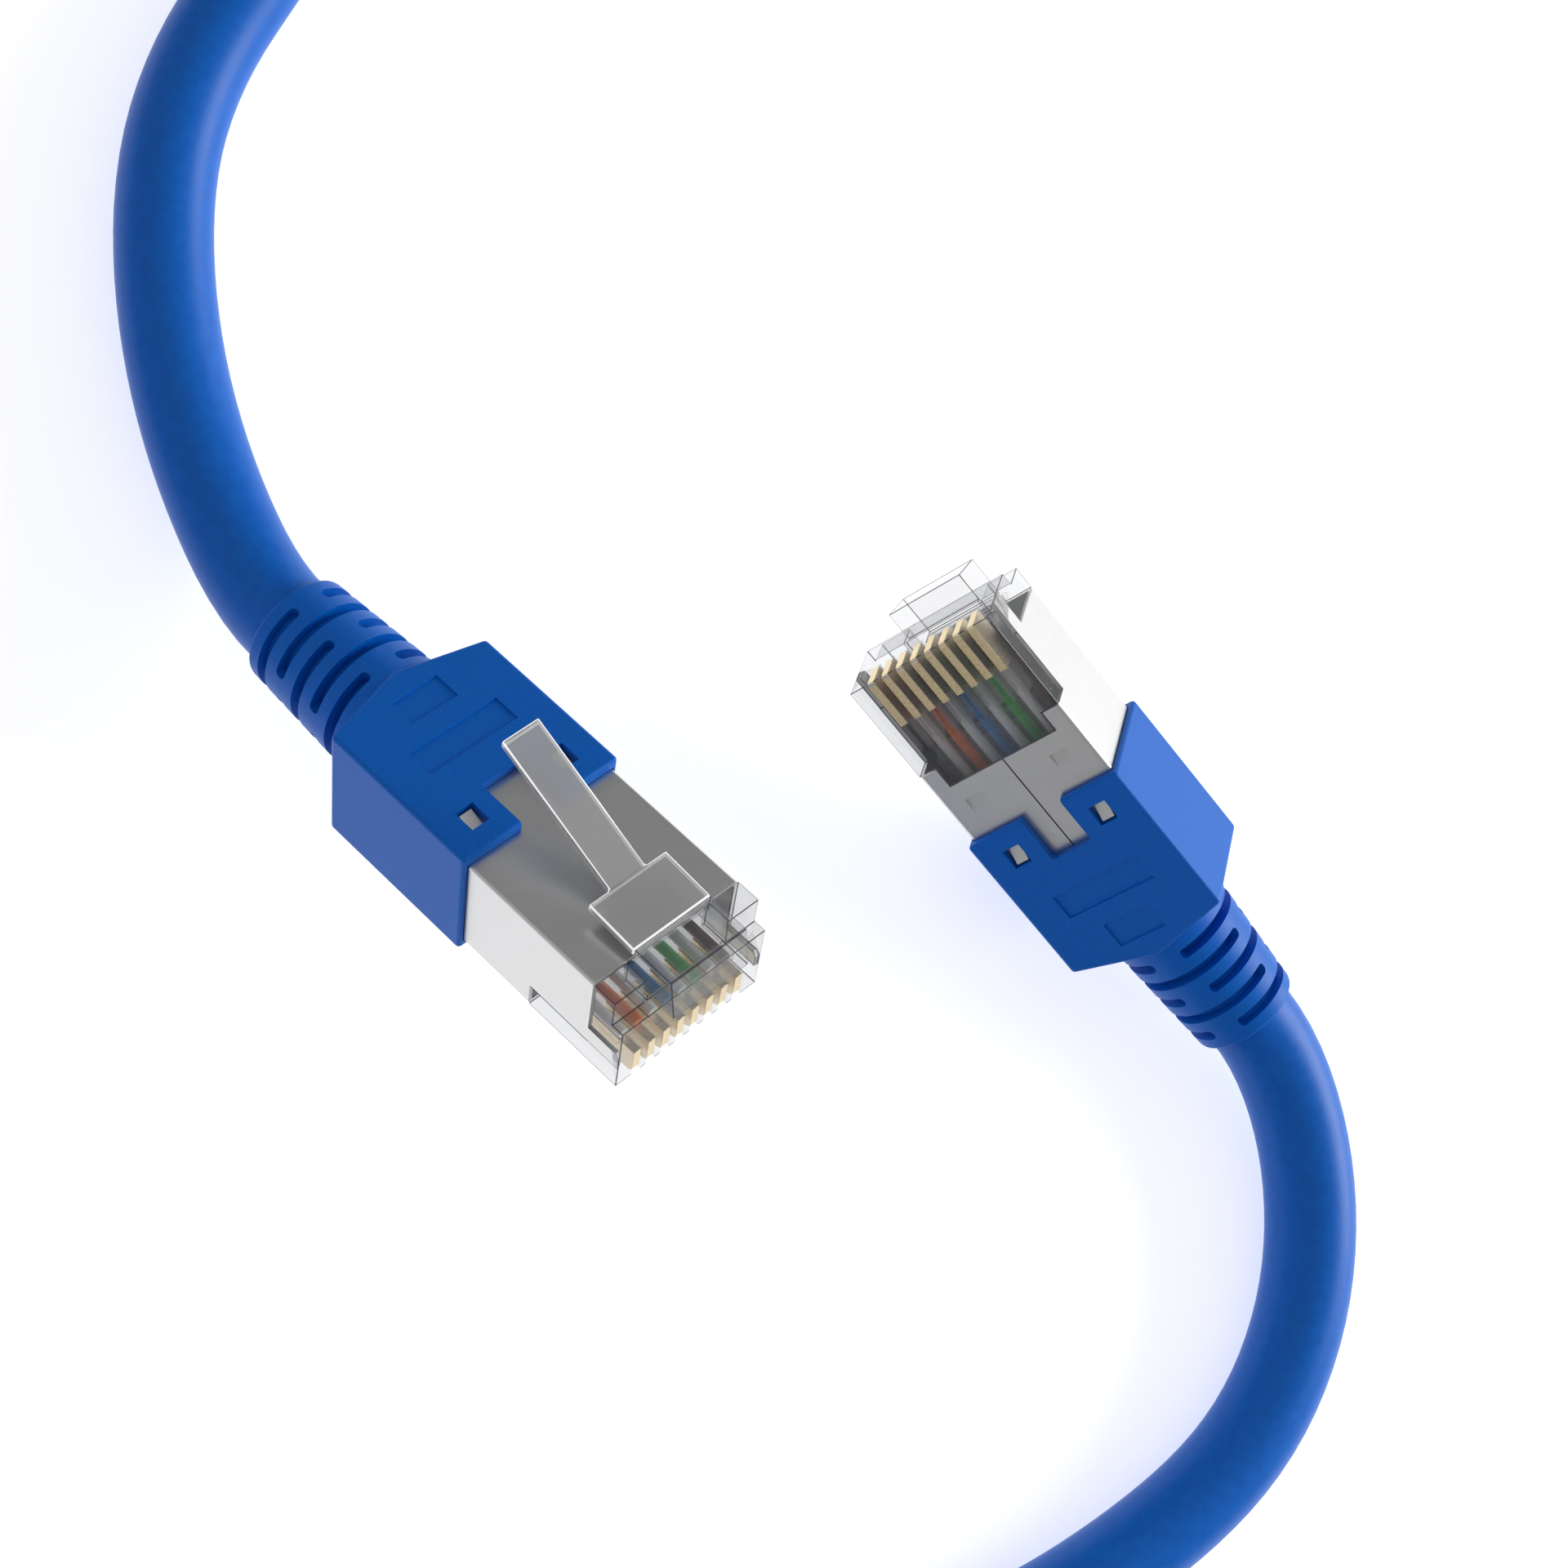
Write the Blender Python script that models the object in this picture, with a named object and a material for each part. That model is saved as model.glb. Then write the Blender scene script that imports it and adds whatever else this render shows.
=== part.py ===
"""A shielded ethernet patch cable: one round cord with a modular plug on each end.

Metres, +Z up. The cord and plug B rest on the surface z = 0, and the origin is the bottom centre of
the box around the two plugs. A plug is drawn in its own frame and placed twice: X forward with the
nose at x = 0, Y to its left, and Z towards the latch, with the contact side at z = 0.
"""

import math

import bmesh
import bpy
import numpy as np
from mathutils import Euler, Matrix, Vector

MM = 0.001

# Driving dimensions of the plug.
PLUG_WIDTH = 11.68 * MM
PLUG_HEIGHT = 7.69 * MM
PIN_COUNT = 8
PIN_PITCH = 1.2 * MM
WIRE_DIAMETER = 0.74 * MM
WIRE_HEIGHT = 2.6 * MM
AXIS_HEIGHT = 3.9 * MM
CORD_DIAMETER = 6.5 * MM
GAP = 0.04 * MM
PLUG_HALF = PLUG_WIDTH / 2

# Nose of the clear housing.
STEP_HEIGHT = 5.54 * MM
SHOULDER_X = -0.93 * MM
FLANK_BACK_X = -2.7 * MM
KEY_HALF = 3.05 * MM
KEY_FRONT_X = 1.3 * MM
KEY_BACK_X = -2.4 * MM
KEY_BOTTOM = 6.0 * MM
KEY_TOP = 9.0 * MM
GROOVE = 0.3 * MM
BELLY_HEIGHT = 1.86 * MM
BELLY_BACK_X = -7.76 * MM
BACK_X = -20.0 * MM

# The hollow in the housing: a flat one for the wires, room for the load bar, and more at the back.
CAVITY_HALF = 4.8 * MM
WIRE_ROOM_X, WIRE_ROOM_Z = (-8 * MM, -1.2 * MM), (2.05 * MM, 3.15 * MM)
BAR_ROOM_BACK_X, BAR_ROOM_Z = -13.5 * MM, (1.4 * MM, 3.8 * MM)
BACK_ROOM_FRONT_X, BACK_ROOM_Z = -13.2 * MM, (1.0 * MM, 6.7 * MM)
LOAD_BAR_BACK_X, LOAD_BAR_BOTTOM = -12.9 * MM, 3.05 * MM

# Stamped contacts, and the slots that they stand in.
CONTACT_BACK_X, CONTACT_FRONT_X = -3.9 * MM, -0.08 * MM
CONTACT_BOTTOM, CONTACT_TOP = 0.15 * MM, 2.18 * MM
CONTACT_HALF, CONTACT_CORNER = 0.3 * MM, 0.4 * MM
SLOT_HALF = 0.36 * MM
SLOT_DEEP_X, SLOT_DEEP = -4.0 * MM, 2.3 * MM
SLOT_BACK_X, SLOT_SHALLOW = -6.2 * MM, 1.75 * MM

# Stamped sheet that wraps the housing, and the barrel that it is crimped to the cord with.
SHEET = 0.28 * MM
SHEET_TOP_X = -2.76 * MM
SHEET_BELLY_X = -7.8 * MM
SHEET_NOTCH_X = -9.4 * MM
SHEET_NOTCH_HALF = 4.5 * MM
SHEET_BACK_X = -20.7 * MM
TONGUE_X = -0.1 * MM
TONGUE_BOTTOM, TONGUE_TOP = 1.9 * MM, 3.15 * MM
SEAM = 0.12 * MM
BARREL_BACK_X = -26.2 * MM
BARREL_INNER, BARREL_OUTER = 3.5 * MM, 3.75 * MM
LANCE_X, LANCE_Y = -16.0 * MM, 3.6 * MM
LANCE_LENGTH, LANCE_RISE, LANCE_HALF = 1.3 * MM, 0.5 * MM, 0.5 * MM
SEAM_FRONT_X = -9 * MM
DENT_BACK_X, DENT_FRONT_X, DENT_DEPTH = -11.95 * MM, -10.75 * MM, 0.2 * MM
DENT_Y, DENT_HALF = 3.55 * MM, 0.7 * MM

# Latch: shoulders that catch in the socket, and the lever that the finger presses.
HINGE_X, HINGE_Z = -2.7 * MM, 8.73 * MM
HINGE_RADIUS = 0.25 * MM
LATCH_THICK = 0.55 * MM
SHOULDER_HALF = 3.1 * MM
LEVER_HALF = 1.45 * MM
LEVER_ROOT = Vector((-6.35, 9.3)) * MM
LEVER_TIP = Vector((-16.2, 13.7)) * MM

# Moulded boot with its slotted strain relief.
BOOT_HALF = 6.22 * MM
BOOT_BOTTOM, BOOT_TOP = -0.64 * MM, 8.46 * MM
BOOT_FRONT_X, BOOT_BACK_X, BOOT_APEX_X = -13.76 * MM, -26.0 * MM, -27.6 * MM
BOOT_NOTCH_HALF, BOOT_NOTCH_DEPTH = 1.65 * MM, 3.69 * MM
WINDOW_LENGTH, WINDOW_WIDTH = 1.6 * MM, 1.36 * MM
SLEEVE_END_X = -37.0 * MM
SLEEVE_RADIUS, SLEEVE_END_RADIUS = 4.54 * MM, 3.9 * MM
RELIEF_ROWS, RELIEF_PITCH, RELIEF_WIDTH = 5, 1.75 * MM, 0.8 * MM
FIRST_RELIEF_X = -35.55 * MM
RELIEF_ANGLE = math.radians(150)
RELIEF_INNER, RELIEF_OUTER = 3 * MM, 6 * MM
BORE = 3.3 * MM
CORD_START_X = -22.0 * MM
BRAID_OUTER, BRAID_INNER, BRAID_X = 3.46 * MM, 3.29 * MM, (-26.0 * MM, -21.2 * MM)
FOIL_OUTER, FOIL_INNER = 2.5 * MM, 2.4 * MM

# The wires leave the jacket in a ring, spread sideways, then drop into one flat row.
WIRE_START_X, SPREAD_X, DROP_X, FLAT_ROW_X = -21.9 * MM, -20.5 * MM, -17.2 * MM, -13.5 * MM
WIRE_RING = 1.65 * MM
WIRE_FRONT_X = -1.35 * MM

# Where each plug lies: its origin, its heading, and how far its nose is up and it is rolled over.
PLUGS_MM_DEGREES = {
    "plug_a": ((-11.80, -14.68, 22.99), -48.5, 30.1, -14.3),
    "plug_b": ((6.06, 10.27, 15.096), 136.3, 11.3, 129.9),
}
PLUGS = {
    name: (Vector(at) * MM, math.radians(heading), math.radians(nose_up), math.radians(roll))
    for name, (at, heading, nose_up, roll) in PLUGS_MM_DEGREES.items()
}

# The cord's route from sleeve to sleeve, in millimetres: past plug A, round the back and under plug B.
LYING = 3.28
ROUTE_MM = [
    (-37.8, 18.8, 4.4), (-40.5, 26.9, 3.4), (-41.9, 35.5, LYING), (-41.5, 44, LYING),
    (-38.7, 51.9, LYING), (-34.6, 59.3, LYING), (-32.6, 68, LYING), (-33.9, 76.9, LYING),
    (-38.7, 85, LYING), (-47.2, 91.1, LYING), (-58, 93.2, LYING), (-68.7, 91.1, LYING),
    (-77.9, 85, LYING), (-84.1, 75.7, LYING), (-86.1, 65.2, LYING), (-85, 53.7, LYING),
    (-81.3, 41.7, LYING), (-76, 30.7, LYING), (-71.8, 18.7, LYING), (-71.2, 6.2, LYING),
    (-75, -5.8, LYING), (-80.5, -17.3, LYING), (-82.7, -29.3, LYING), (-80.3, -41.3, LYING),
    (-73, -51.6, LYING), (-62.3, -58.3, LYING), (-50, -60.6, LYING), (-36, -60.9, LYING),
    (-22, -60.9, LYING), (-8, -60.1, LYING), (5.5, -57.9, LYING), (17, -54.3, LYING),
    (26.5, -49.3, LYING), (34.4, -42.7, LYING), (38.9, -34.1, LYING), (39.7, -24.8, 3.6),
]
CORD_SPACING = 7 * MM

# T568B order, seen from pin 1: name, then the colour of the insulation.
WIRES = [
    ("white_orange", (0.80, 0.62, 0.50)),
    ("orange", (0.62, 0.12, 0.012)),
    ("white_green", (0.60, 0.75, 0.62)),
    ("blue", (0.012, 0.12, 0.32)),
    ("white_blue", (0.60, 0.68, 0.80)),
    ("green", (0.03, 0.27, 0.045)),
    ("white_brown", (0.66, 0.58, 0.55)),
    ("brown", (0.05, 0.012, 0.01)),
]


def clear_scene():
    for thing in list(bpy.data.objects):
        bpy.data.objects.remove(thing, do_unlink=True)


def material(name, colour, roughness, metallic=0.0, alpha=1.0):
    made = bpy.data.materials.new(name)
    made.use_nodes = True
    shader = made.node_tree.nodes["Principled BSDF"]
    shader.inputs["Base Color"].default_value = (*colour, 1)
    shader.inputs["Roughness"].default_value = roughness
    shader.inputs["Metallic"].default_value = metallic
    shader.inputs["Alpha"].default_value = alpha
    made.diffuse_color = (*colour, 1)
    return made


def mesh_of(shape):
    """The mesh that a bmesh holds, with its faces pointing out."""
    bmesh.ops.recalc_face_normals(shape, faces=shape.faces)
    mesh = bpy.data.meshes.new("shape")
    shape.to_mesh(mesh)
    shape.free()
    return mesh


def prism(outline, axis, low, high):
    """A flat outline pulled along one axis; its points give the other two axes, in X, Y, Z order."""
    corners = [[*point] for point in outline]
    for corner in corners:
        corner.insert("XYZ".index(axis), low)
    along = Vector([high - low if letter == axis else 0 for letter in "XYZ"])
    shape = bmesh.new()
    face = shape.faces.new([shape.verts.new(corner) for corner in corners])
    pulled = bmesh.ops.extrude_face_region(shape, geom=[face])["geom"]
    verts = [part for part in pulled if isinstance(part, bmesh.types.BMVert)]
    bmesh.ops.translate(shape, vec=along, verts=verts)
    return mesh_of(shape)


def box(x, y, z):
    return prism([(x[0], y[0]), (x[1], y[0]), (x[1], y[1]), (x[0], y[1])], "Z", z[0], z[1])


def rod(radius, x, y=0.0, z=AXIS_HEIGHT, end_radius=None, sides=32):
    """A cylinder, or a cone, that lies along X; radius is at its first x."""
    shape = bmesh.new()
    turn = Matrix.Rotation(math.radians(90), 4, "Y")
    place = Matrix.Translation(((x[0] + x[1]) / 2, y, z)) @ turn
    end = radius if end_radius is None else end_radius
    depth = x[1] - x[0]
    bmesh.ops.create_cone(
        shape, cap_ends=True, segments=sides, radius1=radius, radius2=end, depth=depth, matrix=place
    )
    return mesh_of(shape)


def together(*meshes):
    """Separate shapes as one tool for a Boolean."""
    shape = bmesh.new()
    for mesh in meshes:
        shape.from_mesh(mesh)
    return mesh_of(shape)


def shaped(mesh, *steps):
    """The mesh after each Boolean step, given as (operation, tool mesh)."""
    scene = bpy.context.scene.collection
    work = bpy.data.objects.new("work", mesh)
    helpers = [work]
    for operation, tool_mesh in steps:
        tool = bpy.data.objects.new("tool", tool_mesh)
        helpers.append(tool)
        step = work.modifiers.new(operation, "BOOLEAN")
        step.operation = operation
        step.object = tool
    for helper in helpers:
        scene.objects.link(helper)
    bpy.context.view_layer.update()
    graph = bpy.context.evaluated_depsgraph_get()
    result = bpy.data.meshes.new_from_object(work.evaluated_get(graph))
    for helper in helpers:
        bpy.data.objects.remove(helper, do_unlink=True)
    return result


def pin_y(pin):
    """How far a pin, counted from 0, is to the plug's left."""
    return (pin - (PIN_COUNT - 1) / 2) * PIN_PITCH


def housing_mesh():
    inner_half = PLUG_HALF - SHEET - GAP
    core = box((BACK_X, SHOULDER_X), (-inner_half, inner_half), (SHEET + GAP, PLUG_HEIGHT - SHEET - GAP))
    nose = box((FLANK_BACK_X, 0), (-PLUG_HALF, PLUG_HALF), (0, STEP_HEIGHT))
    flanks = box((FLANK_BACK_X, SHOULDER_X), (-PLUG_HALF, PLUG_HALF), (STEP_HEIGHT - MM, PLUG_HEIGHT))
    belly = box((BELLY_BACK_X, FLANK_BACK_X + MM), (-PLUG_HALF, PLUG_HALF), (0, BELLY_HEIGHT))
    notch_half = SHEET_NOTCH_HALF - GAP
    pad = box((SHEET_NOTCH_X + GAP, BELLY_BACK_X + MM), (-notch_half, notch_half), (0, MM))
    key = prism(
        [
            (KEY_BACK_X, KEY_TOP),
            (KEY_FRONT_X - 0.6 * MM, KEY_TOP),
            (KEY_FRONT_X, KEY_TOP - 0.2 * MM),
            (KEY_FRONT_X, KEY_BOTTOM),
            (KEY_BACK_X, KEY_BOTTOM),
        ],
        "Y",
        -KEY_HALF,
        KEY_HALF,
    )
    steps = [("UNION", piece) for piece in (nose, flanks, belly, pad, key)]
    steps += [("DIFFERENCE", tool) for tool in (groove_tool(), tongue_tool(), slot_tool(), cavity_tool())]
    return shaped(core, *steps)


def groove_tool():
    """The narrow gaps between the middle block and the flanks beside it."""
    x, z = (FLANK_BACK_X - 0.05 * MM, SHOULDER_X + MM), (STEP_HEIGHT, PLUG_HEIGHT + MM)
    return together(
        box(x, (KEY_HALF, KEY_HALF + GROOVE), z),
        box(x, (-KEY_HALF - GROOVE, -KEY_HALF), z),
    )


def tongue_outline(grow):
    """Side view of the sheet's forward tongue, with its front top corner cut off."""
    bottom, top, front = TONGUE_BOTTOM - grow, TONGUE_TOP + grow, TONGUE_X + grow
    return [
        (SHEET_TOP_X - MM, bottom),
        (front, bottom),
        (front, top - 0.26 * MM),
        (front - 0.5 * MM, top),
        (SHEET_TOP_X - MM, top),
    ]


def tongue_tool():
    inner = PLUG_HALF - SHEET - GAP
    return together(
        prism(tongue_outline(GAP), "Y", inner, PLUG_HALF + MM),
        prism(tongue_outline(GAP), "Y", -PLUG_HALF - MM, -inner),
    )


def slot_tool():
    """One slot for each contact, open at the front and the bottom, and shallower at its back."""
    slots = []
    for pin in range(PIN_COUNT):
        y = (pin_y(pin) - SLOT_HALF, pin_y(pin) + SLOT_HALF)
        outline = [
            (SLOT_BACK_X, -MM),
            (MM, -MM),
            (MM, SLOT_DEEP),
            (SLOT_DEEP_X, SLOT_DEEP),
            (SLOT_DEEP_X, SLOT_SHALLOW),
            (SLOT_BACK_X, SLOT_SHALLOW),
        ]
        slots.append(prism(outline, "Y", *y))
    return together(*slots)


def cavity_tool():
    """The hollow that the wires, the load bar and the fanned pairs lie in, open at the back."""
    y = (-CAVITY_HALF, CAVITY_HALF)
    return shaped(
        box(WIRE_ROOM_X, y, WIRE_ROOM_Z),
        ("UNION", box((BAR_ROOM_BACK_X, BELLY_BACK_X), y, BAR_ROOM_Z)),
        ("UNION", box((BACK_X - MM, BACK_ROOM_FRONT_X), y, BACK_ROOM_Z)),
    )


def load_bar_mesh():
    """The bar that the wires lie against, across the hollow and above their row."""
    half = CAVITY_HALF - GAP
    return box((LOAD_BAR_BACK_X, BELLY_BACK_X - GAP), (-half, half), (LOAD_BAR_BOTTOM, BAR_ROOM_Z[1] - GAP))


def contact_mesh():
    """A stamped blade on edge, with its riding corner rounded."""
    corner = Vector((CONTACT_FRONT_X - CONTACT_CORNER, CONTACT_BOTTOM + CONTACT_CORNER))
    outline = [(CONTACT_BACK_X, CONTACT_TOP), (CONTACT_BACK_X, CONTACT_BOTTOM)]
    for angle in range(-90, 1, 18):
        turn = math.radians(angle)
        outline.append(corner + CONTACT_CORNER * Vector((math.cos(turn), math.sin(turn))))
    outline.append((CONTACT_FRONT_X, CONTACT_TOP))
    return prism(outline, "Y", -CONTACT_HALF, CONTACT_HALF)


def shield_mesh():
    inner_y, inner_z = PLUG_HALF - SHEET, (SHEET, PLUG_HEIGHT - SHEET)
    shell = box((SHEET_BACK_X, SHEET_TOP_X), (-PLUG_HALF, PLUG_HALF), (0, PLUG_HEIGHT))
    hollow = box((SHEET_BACK_X + SHEET, MM), (-inner_y, inner_y), inner_z)
    lower_front = box((SHEET_BELLY_X, MM), (-PLUG_WIDTH, PLUG_WIDTH), (-MM, TONGUE_BOTTOM))
    notch_half = SHEET_NOTCH_HALF
    notch = box((SHEET_NOTCH_X, SHEET_BELLY_X + MM), (-notch_half, notch_half), (-MM, 2 * SHEET))
    tongues = together(
        prism(tongue_outline(0), "Y", inner_y, PLUG_HALF),
        prism(tongue_outline(0), "Y", -PLUG_HALF, -inner_y),
    )
    barrel = rod(BARREL_OUTER, (BARREL_BACK_X, SHEET_BACK_X + SHEET / 2))
    opening = rod(BARREL_INNER, (BARREL_BACK_X - MM, BACK_X))
    seam = box((BARREL_BACK_X - MM, SEAM_FRONT_X), (-SEAM / 2, SEAM / 2), (-MM, 2 * MM))
    wedge = [(DENT_BACK_X, 0), (DENT_BACK_X, -MM), (DENT_FRONT_X, -MM), (DENT_FRONT_X, DENT_DEPTH)]
    dents = together(
        prism(wedge, "Y", DENT_Y - DENT_HALF, DENT_Y + DENT_HALF),
        prism(wedge, "Y", -DENT_Y - DENT_HALF, -DENT_Y + DENT_HALF),
    )
    return shaped(
        shell,
        ("DIFFERENCE", hollow),
        ("DIFFERENCE", lower_front),
        ("DIFFERENCE", notch),
        ("UNION", tongues),
        ("UNION", barrel),
        ("DIFFERENCE", opening),
        ("DIFFERENCE", seam),
        ("DIFFERENCE", dents),
        ("UNION", lances()),
    )


def lances():
    """Four ramps pushed out of the sheet, which hold the boot by its windows."""
    front, back, sink = LANCE_X + LANCE_LENGTH / 2, LANCE_X - LANCE_LENGTH / 2, SHEET / 2
    made = []
    for surface, outwards in ((PLUG_HEIGHT, 1), (0, -1)):
        ramp = [
            (front, surface - outwards * sink),
            (front, surface),
            (back, surface + outwards * LANCE_RISE),
            (back, surface - outwards * sink),
        ]
        for side in (-LANCE_Y, LANCE_Y):
            made.append(prism(ramp, "Y", side - LANCE_HALF, side + LANCE_HALF))
    return together(*made)


def latch_mesh():
    """Drawn about its hinge: a rounded root, the shoulders, and the lever rising to the back."""
    hinge = Vector((HINGE_X, HINGE_Z))
    top = Vector((-3.65 * MM, KEY_TOP)) - hinge
    root, tip = LEVER_ROOT - hinge, LEVER_TIP - hinge
    down = Vector((0, -LATCH_THICK))
    arc = [
        (HINGE_RADIUS * math.sin(math.radians(angle)), HINGE_RADIUS * math.cos(math.radians(angle)))
        for angle in range(0, 181, 30)
    ]
    shoulder = prism([root + down, root, top, *arc, top + down], "Y", -SHOULDER_HALF, SHOULDER_HALF)
    forward = Vector((0.6 * MM, 0))
    outline = [tip + down, tip, root, root + forward, root + forward + down, root + down]
    lever = prism(outline, "Y", -LEVER_HALF, LEVER_HALF)
    return shaped(shoulder, ("UNION", lever))


def arc_points(radius, angles):
    """Points in Y and Z at those angles about the cord's axis."""
    return [(radius * math.cos(angle), AXIS_HEIGHT + radius * math.sin(angle)) for angle in angles]


def relief_slots(x, middle_angles):
    """Two curved slots through the sleeve's wall, each centred on an angle about the sleeve's axis."""
    slots = []
    count = 15
    for middle in middle_angles:
        angles = [middle + RELIEF_ANGLE * (step / count - 0.5) for step in range(count + 1)]
        outline = arc_points(RELIEF_OUTER, angles) + arc_points(RELIEF_INNER, angles[::-1])
        slots.append(prism(outline, "X", x - RELIEF_WIDTH / 2, x + RELIEF_WIDTH / 2))
    return slots


def boot_mesh():
    hood = prism(
        [
            (BOOT_FRONT_X, -BOOT_HALF),
            (BOOT_FRONT_X, BOOT_HALF),
            (BOOT_BACK_X, BOOT_HALF),
            (BOOT_APEX_X, 0),
            (BOOT_BACK_X, -BOOT_HALF),
        ],
        "Z",
        BOOT_BOTTOM,
        BOOT_TOP,
    )
    sleeve = rod(SLEEVE_END_RADIUS, (SLEEVE_END_X, -25 * MM), end_radius=SLEEVE_RADIUS)
    slots = []
    for row in range(RELIEF_ROWS):
        middles = (0, math.pi) if row % 2 == 0 else (math.pi / 2, -math.pi / 2)
        slots += relief_slots(FIRST_RELIEF_X + row * RELIEF_PITCH, middles)
    clear = 0.05 * MM
    half = PLUG_HALF + clear
    pocket = box((SHEET_BACK_X - clear, BOOT_FRONT_X + MM), (-half, half), (-clear, PLUG_HEIGHT + clear))
    barrel_room = rod(BARREL_OUTER + clear, (BARREL_BACK_X - clear, SHEET_BACK_X + MM))
    bore = rod(BORE, (SLEEVE_END_X - MM, BARREL_BACK_X + MM))
    return shaped(
        hood,
        ("UNION", sleeve),
        ("DIFFERENCE", pocket),
        ("DIFFERENCE", barrel_room),
        ("DIFFERENCE", bore),
        ("DIFFERENCE", window_tool()),
        ("DIFFERENCE", together(*slots)),
    )


def window_tool():
    """The finger notch at the front and the four windows, cut through the top and bottom walls."""
    z = (BOOT_BOTTOM - MM, BOOT_TOP + MM)
    notch_x = (BOOT_FRONT_X - BOOT_NOTCH_DEPTH, BOOT_FRONT_X + MM)
    tools = [box(notch_x, (-BOOT_NOTCH_HALF, BOOT_NOTCH_HALF), z)]
    for side in (-LANCE_Y, LANCE_Y):
        x = (LANCE_X - WINDOW_LENGTH / 2, LANCE_X + WINDOW_LENGTH / 2)
        tools.append(box(x, (side - WINDOW_WIDTH / 2, side + WINDOW_WIDTH / 2), z))
    return together(*tools)


def tube_mesh(outer, inner, x):
    """A thin tube about the cord's axis."""
    return shaped(rod(outer, x), ("DIFFERENCE", rod(inner, (x[0] - MM, x[1] + MM))))


def wire_points(pin):
    """From the end of the jacket, where the wires form a ring, out to the flat row of the pins."""
    column, upper = divmod(pin, 2)
    ring_angle = math.radians((202.5, 247.5, 292.5, 337.5)[column])
    ring_y = WIRE_RING * math.cos(ring_angle)
    ring_z = WIRE_RING * math.sin(ring_angle) * (-1 if upper else 1)
    points = []
    for x in np.linspace(WIRE_START_X, FLAT_ROW_X, 11):
        spread = smooth_step((x - SPREAD_X) / (DROP_X - SPREAD_X))
        drop = smooth_step((x - DROP_X) / (FLAT_ROW_X - DROP_X))
        y = ring_y + (pin_y(pin) - ring_y) * spread
        z = AXIS_HEIGHT + ring_z + (WIRE_HEIGHT - AXIS_HEIGHT - ring_z) * drop
        points.append(Vector((x, y, z)))
    return [*points, Vector((WIRE_FRONT_X, pin_y(pin), WIRE_HEIGHT))]


def smooth_step(share):
    share = min(max(share, 0.0), 1.0)
    return share * share * (3 - 2 * share)


def tube_curve(name, points, diameter, resolution):
    curve = bpy.data.curves.new(name, "CURVE")
    curve.dimensions = "3D"
    curve.bevel_depth = diameter / 2
    curve.bevel_resolution = resolution
    curve.use_fill_caps = True
    line = curve.splines.new("POLY")
    line.points.add(len(points) - 1)
    for spot, point in zip(line.points, points):
        spot.co = (*point, 1)
    return curve


def smooth_route(knots, first_way, last_way, spacing):
    """Evenly spaced points on the cubic spline through the knots that leaves and ends the given ways."""
    knots = np.array(knots)
    chords = np.linalg.norm(np.diff(knots, axis=0), axis=1)
    slopes = np.diff(knots, axis=0) / chords[:, None]
    count = len(knots)
    system, right = np.zeros((count, count)), np.zeros((count, 3))
    system[0, :2] = 2 * chords[0], chords[0]
    system[-1, -2:] = chords[-1], 2 * chords[-1]
    right[0] = 6 * (slopes[0] - first_way)
    right[-1] = 6 * (last_way - slopes[-1])
    for i in range(1, count - 1):
        system[i, i - 1 : i + 2] = chords[i - 1], 2 * (chords[i - 1] + chords[i]), chords[i]
        right[i] = 6 * (slopes[i] - slopes[i - 1])
    bends = np.linalg.solve(system, right)
    fine = []
    for i, chord in enumerate(chords):
        for u in np.linspace(0, chord, 30, endpoint=False):
            v = chord - u
            curve = (bends[i] * v**3 + bends[i + 1] * u**3) / (6 * chord)
            ends = knots[i] * v / chord + knots[i + 1] * u / chord
            fine.append(curve + ends - chord / 6 * (bends[i] * v + bends[i + 1] * u))
    fine = np.array([*fine, knots[-1]])
    walked = np.concatenate([[0], np.cumsum(np.linalg.norm(np.diff(fine, axis=0), axis=1))])
    stops = np.linspace(0, walked[-1], round(walked[-1] / spacing) + 1)
    return [Vector([np.interp(stop, walked, fine[:, i]) for i in range(3)]) for stop in stops]


def place_of(plug):
    """The matrix that carries the plug's own frame to where it lies."""
    at, heading, nose_up, roll = PLUGS[plug]
    return Matrix.Translation(at) @ Euler((roll, -nose_up, heading)).to_matrix().to_4x4()


def cord_points():
    place_a, place_b = place_of("plug_a"), place_of("plug_b")
    start, end = Vector((CORD_START_X, 0, AXIS_HEIGHT)), Vector((SLEEVE_END_X - 0.5 * MM, 0, AXIS_HEIGHT))
    knots = [place_a @ end, *(Vector(point) * MM for point in ROUTE_MM), place_b @ end]
    out_of_a = (place_a.to_3x3() @ Vector((-1, 0, 0))).normalized()
    into_b = (place_b.to_3x3() @ Vector((1, 0, 0))).normalized()
    free = smooth_route(knots, np.array(out_of_a), np.array(into_b), CORD_SPACING)
    return [place_a @ start, *free, place_b @ start]


def add(name, data, finish, parent=None, location=(0, 0, 0)):
    thing = bpy.data.objects.new(name, data)
    bpy.context.scene.collection.objects.link(thing)
    thing.parent = parent
    thing.location = location
    if not data.materials:
        data.materials.append(finish)
    if isinstance(data, bpy.types.Mesh):
        data.shade_smooth()
        data.set_sharp_from_angle(angle=math.radians(35))
    return thing


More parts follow.
